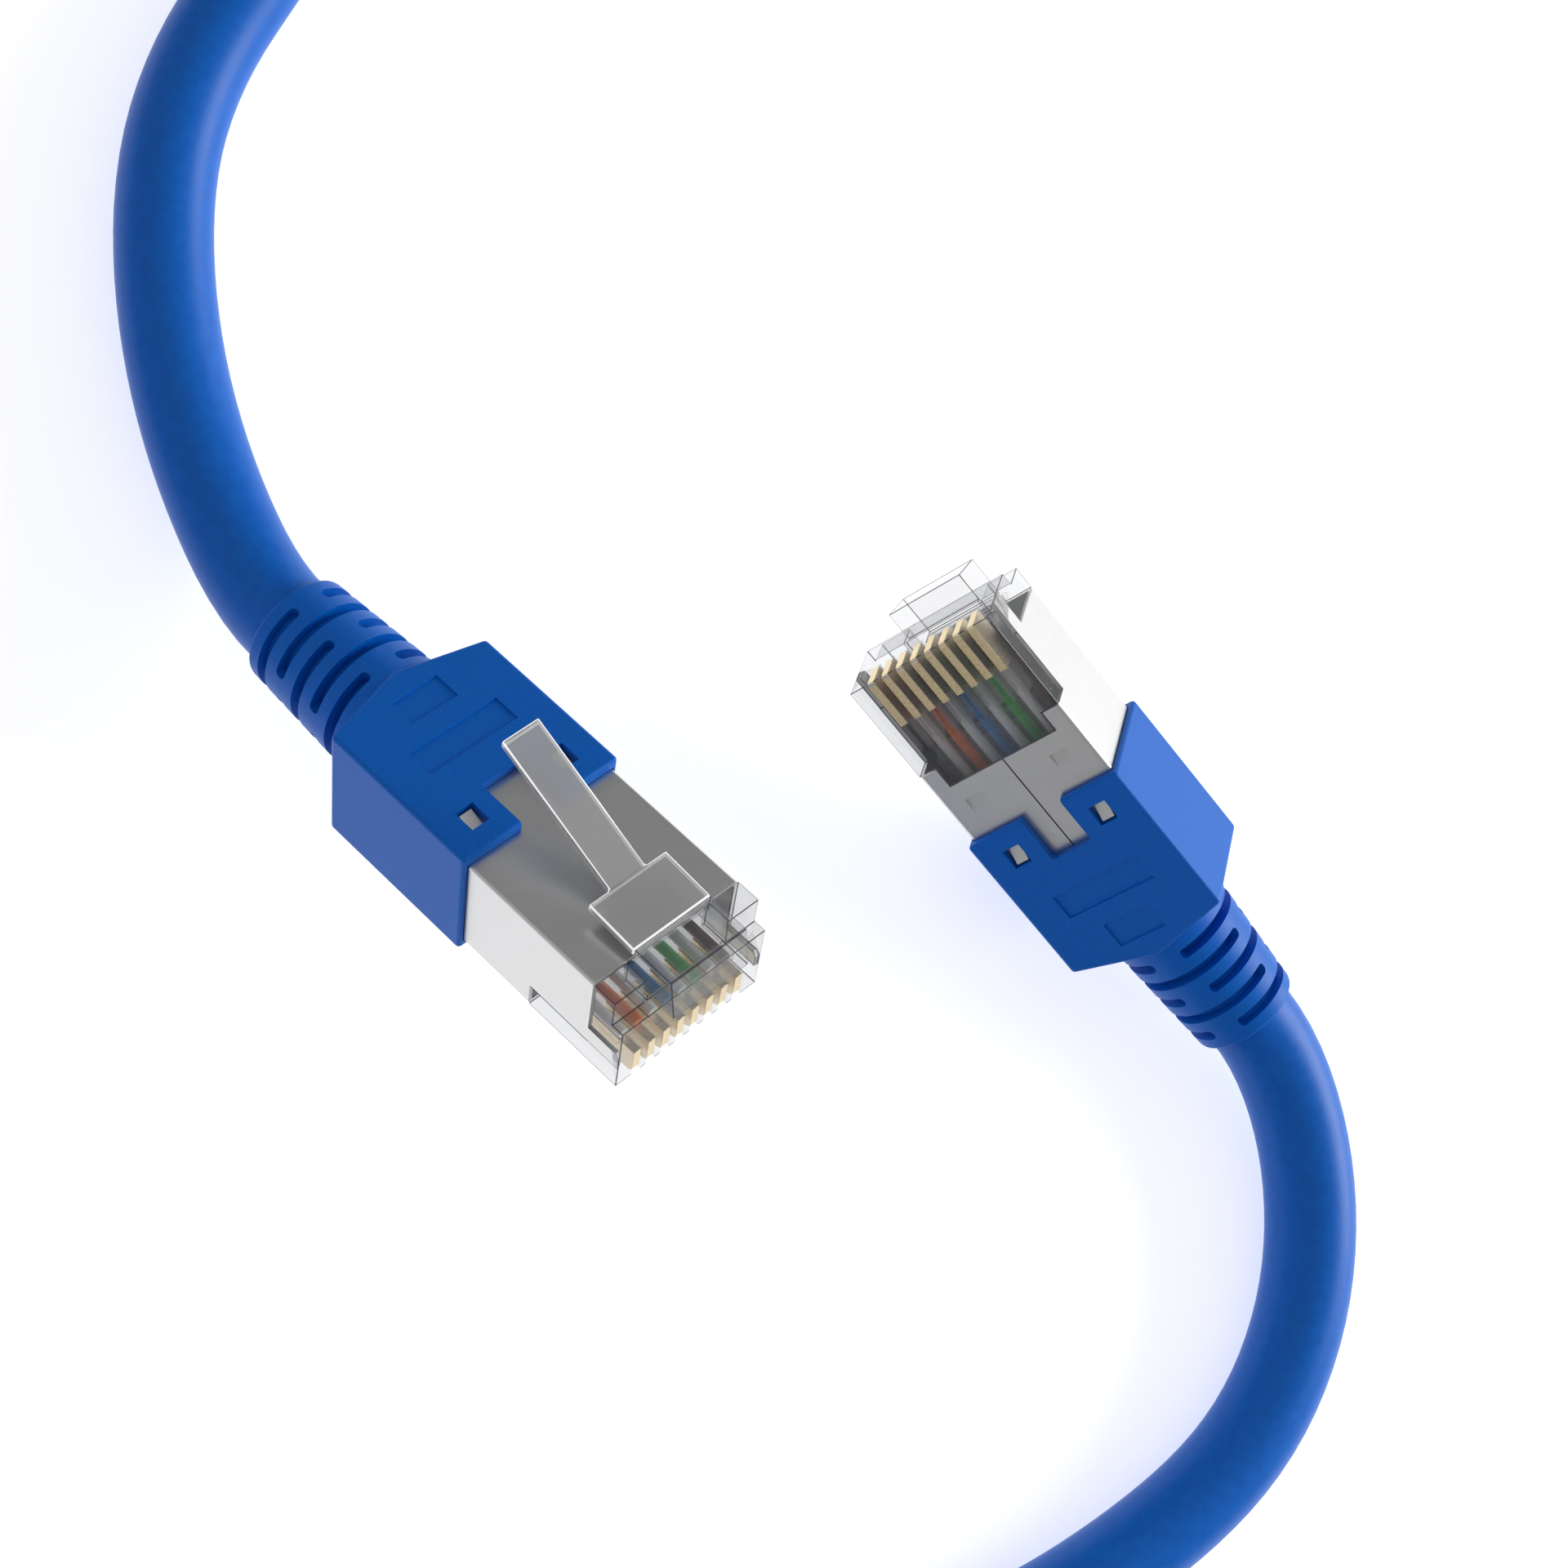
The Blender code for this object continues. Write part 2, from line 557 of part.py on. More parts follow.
def add_plug(name, meshes, contact, finishes, wire_finishes):
    plug = bpy.data.objects.new(name, None)
    bpy.context.scene.collection.objects.link(plug)
    at, heading, nose_up, roll = PLUGS[name]
    plug.location = at
    plug.rotation_euler = (roll, -nose_up, heading)
    for piece, mesh in meshes.items():
        location = (HINGE_X, 0, HINGE_Z) if piece == "latch" else (0, 0, 0)
        add(f"{name}_{piece}", mesh, finishes[piece], plug, location)
    for pin, (colour, _) in enumerate(WIRES):
        add(f"{name}_contact_{pin + 1}", contact, finishes["contact"], plug, (0, pin_y(pin), 0))
        wire = tube_curve(colour, wire_points(pin), WIRE_DIAMETER, 2)
        add(f"{name}_wire_{pin + 1}_{colour}", wire, wire_finishes[pin], plug)


def main():
    clear_scene()
    bpy.context.scene.unit_settings.system = "METRIC"
    clear = material("clear_polycarbonate", (0.86, 0.88, 0.9), 0.08, alpha=0.35)
    nickel = material("nickelled_sheet", (0.42, 0.42, 0.43), 0.25, metallic=1.0)
    gold = material("gold_plated_contact", (0.5, 0.38, 0.18), 0.25, metallic=1.0)
    blue = material("blue_boot", (0.004, 0.08, 0.33), 0.45)
    jacket = material("blue_jacket", (0.006, 0.09, 0.35), 0.5)
    tin = material("tinned_braid", (0.5, 0.5, 0.52), 0.4, metallic=1.0)
    foil = material("aluminium_foil", (0.7, 0.7, 0.72), 0.3, metallic=1.0)
    finishes = {
        "housing": clear,
        "latch": clear,
        "load_bar": clear,
        "shield": nickel,
        "boot": blue,
        "braid": tin,
        "foil": foil,
        "contact": gold,
    }
    wire_finishes = [material(f"{colour}_insulation", value, 0.4) for colour, value in WIRES]
    meshes = {
        "housing": housing_mesh(),
        "latch": latch_mesh(),
        "load_bar": load_bar_mesh(),
        "shield": shield_mesh(),
        "boot": boot_mesh(),
        "braid": tube_mesh(BRAID_OUTER, BRAID_INNER, BRAID_X),
        "foil": tube_mesh(FOIL_OUTER, FOIL_INNER, (WIRE_START_X, SPREAD_X)),
    }
    contact = contact_mesh()
    for name in PLUGS:
        add_plug(name, meshes, contact, finishes, wire_finishes)
    cord = tube_curve("cord", cord_points(), CORD_DIAMETER, 4)
    add("cable_jacket", cord, jacket)


main()
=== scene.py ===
"""The looks of a shielded ethernet patch cable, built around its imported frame.

Each piece is modelled in its plug's own frame, in millimetres: X forward with the nose at x = 0, Y to
the left, and Z towards the latch, with the contact side at z = 0. Then it is carried to where it lies.
"""

import math

import bmesh
import bpy
import numpy as np
from mathutils import Euler, Matrix, Vector


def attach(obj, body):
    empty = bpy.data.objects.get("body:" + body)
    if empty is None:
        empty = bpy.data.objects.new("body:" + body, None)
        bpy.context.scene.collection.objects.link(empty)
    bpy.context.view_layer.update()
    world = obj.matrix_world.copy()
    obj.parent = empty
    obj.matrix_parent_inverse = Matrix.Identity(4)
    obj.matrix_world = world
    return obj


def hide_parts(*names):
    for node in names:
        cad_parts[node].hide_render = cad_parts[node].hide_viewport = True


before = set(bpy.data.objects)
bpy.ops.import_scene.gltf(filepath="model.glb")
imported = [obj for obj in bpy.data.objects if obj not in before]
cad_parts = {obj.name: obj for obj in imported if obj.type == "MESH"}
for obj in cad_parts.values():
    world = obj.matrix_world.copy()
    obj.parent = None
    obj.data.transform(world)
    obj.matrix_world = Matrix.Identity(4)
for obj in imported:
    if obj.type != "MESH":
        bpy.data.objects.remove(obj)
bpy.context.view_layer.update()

MM = 0.001

# Where each plug lies: its origin, its heading, and how far its nose is up and it is rolled over.
PLUGS = {
    "plug_a": (Vector((-11.80, -14.68, 22.99)), math.radians(-48.5), math.radians(30.1), math.radians(-14.3)),
    "plug_b": (Vector((6.06, 10.27, 15.096)), math.radians(136.3), math.radians(11.3), math.radians(129.9)),
}
AXIS_HEIGHT = 3.9
PLUG_HALF, PLUG_HEIGHT = 5.84, 7.69
PIN_COUNT, PIN_PITCH = 8, 1.2

# The cord's route from sleeve to sleeve: past plug A, round the back and under plug B.
CORD_DIAMETER = 6.5
CORD_START_X = -22.0
LYING = 3.28
ROUTE = [
    (-37.8, 18.8, 4.4), (-40.5, 26.9, 3.4), (-41.9, 35.5, LYING), (-41.5, 44, LYING), (-38.7, 51.9, LYING),
    (-34.6, 59.3, LYING), (-32.6, 68, LYING), (-33.9, 76.9, LYING), (-38.7, 85, LYING), (-47.2, 91.1, LYING),
    (-58, 93.2, LYING), (-68.7, 91.1, LYING), (-77.9, 85, LYING), (-84.1, 75.7, LYING), (-86.1, 65.2, LYING),
    (-85, 53.7, LYING), (-81.3, 41.7, LYING), (-76, 30.7, LYING), (-71.8, 18.7, LYING), (-71.2, 6.2, LYING),
    (-75, -5.8, LYING), (-80.5, -17.3, LYING), (-82.7, -29.3, LYING), (-80.3, -41.3, LYING),
    (-73, -51.6, LYING), (-62.3, -58.3, LYING), (-50, -60.6, LYING), (-36, -60.9, LYING), (-22, -60.9, LYING),
    (-8, -60.1, LYING), (5.5, -57.9, LYING), (17, -54.3, LYING), (26.5, -49.3, LYING), (34.4, -42.7, LYING),
    (38.9, -34.1, LYING), (39.7, -24.8, 3.6),
]
CORD_SPACING = 1.5
# How far past the sleeve's end the cord's bends start, and how many samples measure each stretch.
SLEEVE_CLEARANCE, STRETCH_SAMPLES = 0.5, 30

# How far a cutter reaches past what it cuts, and how near a place counts as the same.
PAST = 1
NEAR = 0.01

# Nose of the clear housing.
STEP_HEIGHT = 5.54
SHOULDER_X, FLANK_BACK_X = -0.93, -2.7
KEY_HALF, KEY_FRONT_X, KEY_BACK_X = 3.05, 1.3, -2.4
KEY_BOTTOM, KEY_TOP, KEY_LEAN = 6.0, 9.0, 0.6
GROOVE = 0.3
BELLY_HEIGHT, BELLY_BACK_X = 1.86, -7.76
BACK_X = -20.0
MOULD_GAP = 0.04
CLEAR_BEVEL, LATCH_BEVEL = 0.06, 0.1
CONTACT_SLOT_HALF = 0.36
# A slot's shallow rear and deep front: where each starts, and how high it reaches.
CONTACT_SLOTS = [(-6.2, 1.75), (-4.0, 2.3)]

# The room for the wires, from the nose to the back: its reach along X and its height.
CAVITY_HALF = 4.8
CAVITY = [((-8, -1.2), (2.05, 3.15)), ((-13.5, BELLY_BACK_X), (1.4, 3.8)), ((BACK_X - 1, -13.2), (1.0, 6.7))]
LOAD_BAR_BACK_X, LOAD_BAR_FRONT_X, LOAD_BAR_GROOVE = -12.9, -7.9, 0.45
LOAD_BAR_BOTTOM, LOAD_BAR_TOP = 2.9, 3.74

# Stamped contacts.
CONTACT_BACK_X, CONTACT_FRONT_X = -3.9, -0.08
CONTACT_BOTTOM, CONTACT_TOP = 0.15, 2.18
CONTACT_HALF, CONTACT_CORNER, CONTACT_BURR = 0.3, 0.4, 0.03

# Stamped sheet that wraps the housing.
SHEET = 0.28
SHEET_TOP_X, SHEET_BELLY_X = -2.76, -7.8
SHEET_NOTCH_X, SHEET_NOTCH_HALF = -9.4, 4.5
SHEET_BACK_X = -20.7
SHEET_BEND, SHEET_BURR = 0.22, 0.03
SEAM_FRONT_X, SEAM_HALF = -9.0, 0.05
TONGUE_BACK_X, TONGUE_X = -3.5, -0.1
TONGUE_BOTTOM, TONGUE_TOP, TONGUE_CORNER = 1.9, 3.15, 0.26
BARREL_BACK_X, BARREL_INNER, BARREL_OUTER = -26.2, 3.5, 3.75
LANCE_X, LANCE_Y = -16.0, 3.6
LANCE_LENGTH, LANCE_RISE, LANCE_HALF, LANCE_SINK = 1.3, 0.5, 0.5, 0.14
DENT_BACK_X, DENT_FRONT_X, DENT_DEPTH = -11.95, -10.75, 0.2
DENT_Y, DENT_HALF = 3.55, 0.7

# Latch.
HINGE_X, SHOULDER_FRONT_X = -2.7, -2.45
LATCH_THICK = 0.55
SHOULDER_HALF, LEVER_HALF = 3.1, 1.45
LEVER_ROOT, LEVER_TIP, LEVER_LAP = (-6.35, 9.3), (-16.2, 13.7), 0.6

# Moulded boot with its slotted strain relief.
BOOT_HALF, BOOT_BOTTOM, BOOT_TOP = 6.22, -0.64, 8.46
BOOT_FRONT_X, BOOT_BACK_X, BOOT_APEX_X = -13.76, -26.0, -27.6
BOOT_GAP = 0.05
BOOT_NOTCH_HALF, BOOT_NOTCH_DEPTH, BOOT_NOTCH_CORNER = 1.65, 3.69, 0.25
WINDOW_LENGTH, WINDOW_WIDTH = 1.6, 1.36
SLEEVE_END_X, SLEEVE_ROOT_X, SLEEVE_RADIUS, SLEEVE_END_RADIUS = -37.0, -25.0, 4.54, 3.9
BORE = 3.3
HOOD_ROUNDING, SLEEVE_ROUNDING, BOOT_ROUNDING = 0.28, 0.25, 0.12
# The hood's sunk panels, the same above and below: the reach along X and the half width of each.
PANELS = [((-22.1, -19.9), 3.6), ((-25.75, -23.55), 1.93)]
PANEL_DEPTH, PANEL_SLOPE = 0.13, 0.1
# The sleeve's slots come in pairs that face each other, each pair a quarter turn from the last.
SLOT_ROWS, SLOT_PITCH, SLOT_WIDTH, FIRST_SLOT_X = 5, 1.75, 0.8, -35.55
SLOT_ANGLE = math.radians(150)
SLOT_REACH, SLOT_FLOOR, SLOT_ROUNDING = 6, 0.6, 0.35

# The wires leave the jacket in a ring, spread sideways, then drop into one flat row.
WIRE_DIAMETER, WIRE_HEIGHT, WIRE_RING = 0.74, 2.6, 1.65
WIRE_START_X, SPREAD_X, DROP_X, FLAT_ROW_X, WIRE_FRONT_X = -21.9, -20.5, -17.2, -13.5, -1.35
WIRE_BENDS = 22
RING_ANGLES = (202.5, 247.5, 292.5, 337.5)

# T568B order, seen from pin 1, with the colour of each insulation.
WIRES = [
    ("white_orange", "#F1EEEC"),
    ("orange", "#F07010"),
    ("white_green", "#EEF1EF"),
    ("blue", "#0F7CC0"),
    ("white_blue", "#EEF0F4"),
    ("green", "#20B43C"),
    ("white_brown", "#F0EDED"),
    ("brown", "#4A1C18"),
]

# The blue PVC, and the close tones it is mottled between.
PVC_BLUE, PVC_DARK, PVC_LIGHT = "#0061C2", "#005EBE", "#0063C5"


# ---------------------------------------------------------------- modelling


def block(x, y, z):
    """A box between those limits, alone and selected, to be shaped."""
    bpy.ops.object.select_all(action="DESELECT")
    sides = np.array([x, y, z], float)
    bpy.ops.mesh.primitive_cube_add(size=1, location=sides.mean(axis=1), scale=sides[:, 1] - sides[:, 0])
    bpy.ops.object.transform_apply(location=True, rotation=True, scale=True)
    return bpy.context.object


def turned(radius, x, y=0.0, z=AXIS_HEIGHT, end_radius=None, sides=90):
    """A round bar or a taper that lies along X; radius is at its first x."""
    bpy.ops.object.select_all(action="DESELECT")
    bpy.ops.mesh.primitive_cone_add(
        vertices=sides,
        radius1=radius,
        radius2=radius if end_radius is None else end_radius,
        depth=x[1] - x[0],
        location=((x[0] + x[1]) / 2, y, z),
        rotation=(0, math.radians(90), 0),
    )
    bpy.ops.object.transform_apply(location=True, rotation=True, scale=True)
    return bpy.context.object


def choose(piece):
    """Makes the piece the only one selected, and the active one."""
    bpy.ops.object.select_all(action="DESELECT")
    bpy.context.view_layer.objects.active = piece
    piece.select_set(True)


def open_up(piece):
    """Edit mode on the piece, with nothing selected."""
    choose(piece)
    bpy.ops.object.mode_set(mode="EDIT")
    bpy.ops.mesh.select_all(action="DESELECT")


def pick(kind, test):
    """Selects only the verts, edges or faces of the open piece that pass the test."""
    shape = bmesh.from_edit_mesh(bpy.context.object.data)
    bpy.ops.mesh.select_mode(type={"verts": "VERT", "edges": "EDGE", "faces": "FACE"}[kind])
    bpy.ops.mesh.select_all(action="DESELECT")
    for part in getattr(shape, kind):
        part.select_set(test(part))
    bmesh.update_edit_mesh(bpy.context.object.data)


def close():
    """Back to object mode."""
    bpy.ops.object.mode_set(mode="OBJECT")


def middle(part):
    """The mean of an edge's or a face's corners."""
    return sum((corner.co for corner in part.verts), Vector()) / len(part.verts)


def crease(edge):
    """How far the surface turns at an edge, in degrees."""
    return math.degrees(edge.calc_face_angle(0))


def soften(piece, width, segments, test=lambda edge: True, sharper_than=25):
    """Rounds the sharp edges that pass the test."""
    open_up(piece)
    pick("edges", lambda edge: crease(edge) > sharper_than and test(edge))
    bpy.ops.mesh.bevel(offset=width, segments=segments, profile=0.5, affect="EDGES")
    close()
    return piece


def finished(piece, *modifiers):
    """The piece with each modifier put on it and applied; each is a kind and its settings."""
    choose(piece)
    for kind, settings in modifiers:
        added = piece.modifiers.new(kind, kind)
        for key, value in settings.items():
            setattr(added, key, value)
        bpy.ops.object.modifier_apply(modifier=added.name)
    return piece


def rounded(piece, width, segments, angle):
    """Rounds every edge that turns by more than the angle, in degrees."""
    settings = {"width": width, "segments": segments, "angle_limit": math.radians(angle)}
    return finished(piece, ("BEVEL", settings))


def make_slots(mesh, count):
    """Gives the mesh at least so many empty material slots."""
    while len(mesh.materials) < count:
        mesh.materials.append(None)


def edged(piece, width):
    """Rounds the sharp edges of a clear moulding, and gives the roundings its second material, a painted edge
    line.
    """
    make_slots(piece.data, 2)
    rounding = {"width": width, "segments": 2, "material": 1, "use_clamp_overlap": False}
    rounding["angle_limit"] = math.radians(40)
    return finished(piece, ("BEVEL", rounding))


def combine(piece, operation, *tools):
    """The piece after a Boolean with each tool, which is then thrown away."""
    for tool in tools:
        finished(piece, ("BOOLEAN", {"operation": operation, "object": tool, "solver": "EXACT"}))
        bpy.data.objects.remove(tool, do_unlink=True)
    return piece


def cut(piece, *tools):
    """The piece less the tools."""
    return combine(piece, "DIFFERENCE", *tools)


def add(piece, *tools):
    """The piece with the tools grown onto it."""
    return combine(piece, "UNION", *tools)


def smooth(piece, angle):
    """Shades the piece smooth, but for edges that turn by more than the angle, in degrees."""
    choose(piece)
    bpy.ops.object.shade_smooth_by_angle(angle=math.radians(angle))
    return finished(piece, ("WEIGHTED_NORMAL", {"keep_sharp": True, "weight": 80}))


def runs_along(axis):
    """A test for edges that run along an axis, from 0 for X to 2 for Z."""

    def test(edge):
        way = edge.verts[0].co - edge.verts[1].co
        return abs(way[axis]) > 0.9 * way.length

    return test


def pin_y(pin):
    """How far a pin, counted from 0, is to the plug's left."""
    return (pin - (PIN_COUNT - 1) / 2) * PIN_PITCH


def slot_cutter(x, middle_angle):
    """A flat wedge with round ends that cuts a slot, centred on an angle about the sleeve's axis."""
    axis = Vector((x, 0, AXIS_HEIGHT))
    wedge = turned(SLOT_REACH, (x - SLOT_WIDTH / 2, x + SLOT_WIDTH / 2), sides=36)
    open_up(wedge)
    for angle, away in ((middle_angle - SLOT_ANGLE / 2, -1), (middle_angle + SLOT_ANGLE / 2, 1)):
        bpy.ops.mesh.select_all(action="SELECT")
        normal = (0, -away * math.sin(angle), away * math.cos(angle))
        bpy.ops.mesh.bisect(plane_co=axis, plane_no=normal, use_fill=True, clear_outer=True)
    bpy.ops.mesh.select_all(action="SELECT")
    outwards = Vector((0, math.cos(middle_angle), math.sin(middle_angle)))
    floor = axis + SLOT_FLOOR * outwards
    bpy.ops.mesh.bisect(plane_co=floor, plane_no=outwards, use_fill=True, clear_inner=True)
    close()
    return soften(wedge, SLOT_ROUNDING, 4, lambda edge: is_slot_end(edge, axis), 60)


def is_slot_end(edge, axis):
    """True for the wedge's long edges that run out from the axis."""
    way = edge.verts[0].co - edge.verts[1].co
    out = middle(edge) - axis
    return abs(way.x) < 0.1 and way.length > 2 and out.length > 3


def boot_mesh():
    """The hood and its sleeve in one moulding, hollow for the sheet, the barrel and the cord."""
    hood = block((BOOT_BACK_X, BOOT_FRONT_X), (-BOOT_HALF, BOOT_HALF), (BOOT_BOTTOM, BOOT_TOP))
    open_up(hood)
    bpy.ops.mesh.select_all(action="SELECT")
    bpy.ops.mesh.bisect(plane_co=(0, 0, 0), plane_no=(0, 1, 0))
    pick("verts", lambda vert: vert.co.x < BOOT_BACK_X + NEAR and abs(vert.co.y) < NEAR)
    bpy.ops.transform.translate(value=(BOOT_APEX_X - BOOT_BACK_X, 0, 0))
    close()
    soften(hood, HOOD_ROUNDING, 4, sharper_than=40)
    sleeve = turned(SLEEVE_END_RADIUS, (SLEEVE_END_X, SLEEVE_ROOT_X), end_radius=SLEEVE_RADIUS)
    soften(sleeve, SLEEVE_ROUNDING, 3, lambda edge: middle(edge).x < SLEEVE_END_X + 0.1, 60)
    boot = add(hood, sleeve)
    half, height = PLUG_HALF + BOOT_GAP, (-BOOT_GAP, PLUG_HEIGHT + BOOT_GAP)
    pocket = block((SHEET_BACK_X - BOOT_GAP, BOOT_FRONT_X + PAST), (-half, half), height)
    barrel_room = turned(BARREL_OUTER + BOOT_GAP, (BARREL_BACK_X - BOOT_GAP, SHEET_BACK_X + PAST))
    bore = turned(BORE, (SLEEVE_END_X - PAST, BARREL_BACK_X + PAST))
    through = (BOOT_BOTTOM - PAST, BOOT_TOP + PAST)
    notch_x = (BOOT_FRONT_X - BOOT_NOTCH_DEPTH, BOOT_FRONT_X + PAST)
    notch = block(notch_x, (-BOOT_NOTCH_HALF, BOOT_NOTCH_HALF), through)
    soften(notch, BOOT_NOTCH_CORNER, 3, runs_along(2))
    cut(boot, pocket, barrel_room, bore, notch)
    window_x = (LANCE_X - WINDOW_LENGTH / 2, LANCE_X + WINDOW_LENGTH / 2)
    for y in (-LANCE_Y, LANCE_Y):
        cut(boot, block(window_x, (y - WINDOW_WIDTH / 2, y + WINDOW_WIDTH / 2), through))
    for row in range(SLOT_ROWS):
        middles = (0, math.pi) if row % 2 == 0 else (math.pi / 2, -math.pi / 2)
        for angle in middles:
            cut(boot, slot_cutter(FIRST_SLOT_X + row * SLOT_PITCH, angle))
    return boot


def panel_cutter(x, half, surface, out):
    """A block with sloped sides that sinks a panel into the hood; out is 1 on its top, -1 underneath."""
    floor = surface - out * PANEL_DEPTH
    tool = block(x, (-half, half), sorted((floor, surface + out * 0.3)))
    open_up(tool)
    pick("faces", lambda face: abs(middle(face).z - floor) < NEAR)
    sizes = ((x[1] - x[0] - 2 * PANEL_SLOPE) / (x[1] - x[0]), 1 - PANEL_SLOPE / half, 1)
    bpy.ops.transform.resize(value=sizes, center_override=((x[0] + x[1]) / 2, 0, floor))
    close()
    return tool


def make_boot():
    """The boot with its edges rounded and its panels sunk."""
    boot = rounded(boot_mesh(), BOOT_ROUNDING, 2, 35)
    for surface, out in ((BOOT_TOP, 1), (BOOT_BOTTOM, -1)):
        cut(boot, *(panel_cutter(x, half, surface, out) for x, half in PANELS))
    return smooth(boot, 32)


def tongue(inner, outer):
    """The sheet's forward tongue on one side, with its front top corner cut off."""
    piece = block((TONGUE_BACK_X, TONGUE_X), sorted((inner, outer)), (TONGUE_BOTTOM, TONGUE_TOP))
    corner = Vector((TONGUE_X - NEAR, 0, TONGUE_TOP - NEAR))
    return soften(
        piece, TONGUE_CORNER, 1, lambda edge: middle(edge).x > corner.x and middle(edge).z > corner.z
    )


def lance(y, surface, out):
    """A ramp pushed out of the sheet, highest at its back; out is 1 on the sheet's top, -1 underneath."""
    x = (LANCE_X - LANCE_LENGTH / 2, LANCE_X + LANCE_LENGTH / 2)
    limits = sorted((surface - out * LANCE_SINK, surface + out * LANCE_RISE))
    ramp = block(x, (y - LANCE_HALF, y + LANCE_HALF), limits)
    open_up(ramp)
    pick("verts", lambda vert: vert.co.x > LANCE_X and abs(vert.co.z - surface - out * LANCE_RISE) < NEAR)
    bpy.ops.transform.translate(value=(0, 0, -out * (LANCE_RISE - 0.02)))
    close()
    return soften(ramp, 0.07, 2)


def dent(y):
    """A wedge that presses a ramped dent into the underside, deepest at its front."""
    wedge = block((DENT_BACK_X, DENT_FRONT_X), (y - DENT_HALF, y + DENT_HALF), (-PAST, 0))
    open_up(wedge)
    pick("verts", lambda vert: vert.co.z > -0.5 and vert.co.x > DENT_BACK_X + 0.1)
    bpy.ops.transform.translate(value=(0, 0, DENT_DEPTH))
    close()
    return wedge


def make_shield():
    """The stamped sheet: a bent shell with tongues, a seam, dents, lances and a crimp barrel."""
    inner = PLUG_HALF - SHEET
    shell = block((SHEET_BACK_X, SHEET_TOP_X), (-PLUG_HALF, PLUG_HALF), (0, PLUG_HEIGHT))
    soften(shell, SHEET_BEND, 4, runs_along(0))
    hollow = block((SHEET_BACK_X + SHEET, PAST), (-inner, inner), (SHEET, PLUG_HEIGHT - SHEET))
    lower_front = block((SHEET_BELLY_X, PAST), (-8, 8), (-PAST, TONGUE_BOTTOM))
    notch_x = (SHEET_NOTCH_X, SHEET_BELLY_X + PAST)
    notch = block(notch_x, (-SHEET_NOTCH_HALF, SHEET_NOTCH_HALF), (-PAST, 2 * SHEET))
    cut(shell, hollow, lower_front, notch)
    add(shell, tongue(inner, PLUG_HALF), tongue(-inner, -PLUG_HALF))
    add(shell, turned(BARREL_OUTER, (BARREL_BACK_X, SHEET_BACK_X + SHEET / 2), sides=64))
    cut(shell, turned(BARREL_INNER, (BARREL_BACK_X - PAST, BACK_X), sides=60))
    cut(shell, block((BARREL_BACK_X - PAST, SEAM_FRONT_X), (-SEAM_HALF, SEAM_HALF), (-PAST, 2)))
    cut(shell, dent(-DENT_Y), dent(DENT_Y))
    for y in (-LANCE_Y, LANCE_Y):
        add(shell, lance(y, PLUG_HEIGHT, 1), lance(y, 0, -1))
    rounded(shell, SHEET_BURR, 1, 50)
    return smooth(shell, 30)


def make_housing():
    """The clear moulding: stepped nose, latch key, contact slots and the hollow for the wires."""
    inner, whole = PLUG_HALF - SHEET - MOULD_GAP, (-PLUG_HALF, PLUG_HALF)
    height = (SHEET + MOULD_GAP, PLUG_HEIGHT - SHEET - MOULD_GAP)
    core = block((BACK_X, SHOULDER_X), (-inner, inner), height)
    nose = block((FLANK_BACK_X, 0), whole, (0, STEP_HEIGHT))
    flanks = block((FLANK_BACK_X, SHOULDER_X), whole, (STEP_HEIGHT - 1, PLUG_HEIGHT))
    belly = block((BELLY_BACK_X, FLANK_BACK_X + 1), whole, (0, BELLY_HEIGHT))
    pad_half = SHEET_NOTCH_HALF - MOULD_GAP
    pad = block((SHEET_NOTCH_X + MOULD_GAP, BELLY_BACK_X + 1), (-pad_half, pad_half), (0, 1))
    key = block((KEY_BACK_X, KEY_FRONT_X), (-KEY_HALF, KEY_HALF), (KEY_BOTTOM, KEY_TOP))
    open_up(key)
    pick("verts", lambda vert: vert.co.x > 0 and vert.co.z > KEY_TOP - NEAR)
    bpy.ops.transform.translate(value=(-KEY_LEAN, 0, 0))
    close()
    add(core, nose, flanks, belly, pad, key)
    groove_x, groove_z = (FLANK_BACK_X - 0.05, SHOULDER_X + PAST), (STEP_HEIGHT, PLUG_HEIGHT + PAST)
    for side in (-1, 1):
        cut(core, block(groove_x, sorted((KEY_HALF * side, (KEY_HALF + GROOVE) * side)), groove_z))
        cut(core, tongue(inner * side, (PLUG_HALF + PAST) * side))
    edged(core, CLEAR_BEVEL)
    for pin in range(PIN_COUNT):
        y = (pin_y(pin) - CONTACT_SLOT_HALF, pin_y(pin) + CONTACT_SLOT_HALF)
        cut(core, *(block((back_x, 0.5), y, (-0.5, top)) for back_x, top in CONTACT_SLOTS))
    front, *rear = [block(x, (-CAVITY_HALF, CAVITY_HALF), z) for x, z in CAVITY]
    return smooth(cut(core, add(front, *rear)), 20)


def make_load_bar():
    """The clear bar that the wires lie against, with one groove for each."""
    half = CAVITY_HALF - MOULD_GAP
    bar = block((LOAD_BAR_BACK_X, LOAD_BAR_FRONT_X), (-half, half), (LOAD_BAR_BOTTOM, LOAD_BAR_TOP))
    edged(bar, CLEAR_BEVEL)
    through = (LOAD_BAR_BACK_X - PAST, LOAD_BAR_FRONT_X + PAST)
    for pin in range(PIN_COUNT):
        cut(bar, turned(LOAD_BAR_GROOVE, through, pin_y(pin), WIRE_HEIGHT, sides=30))
    return smooth(bar, 20)


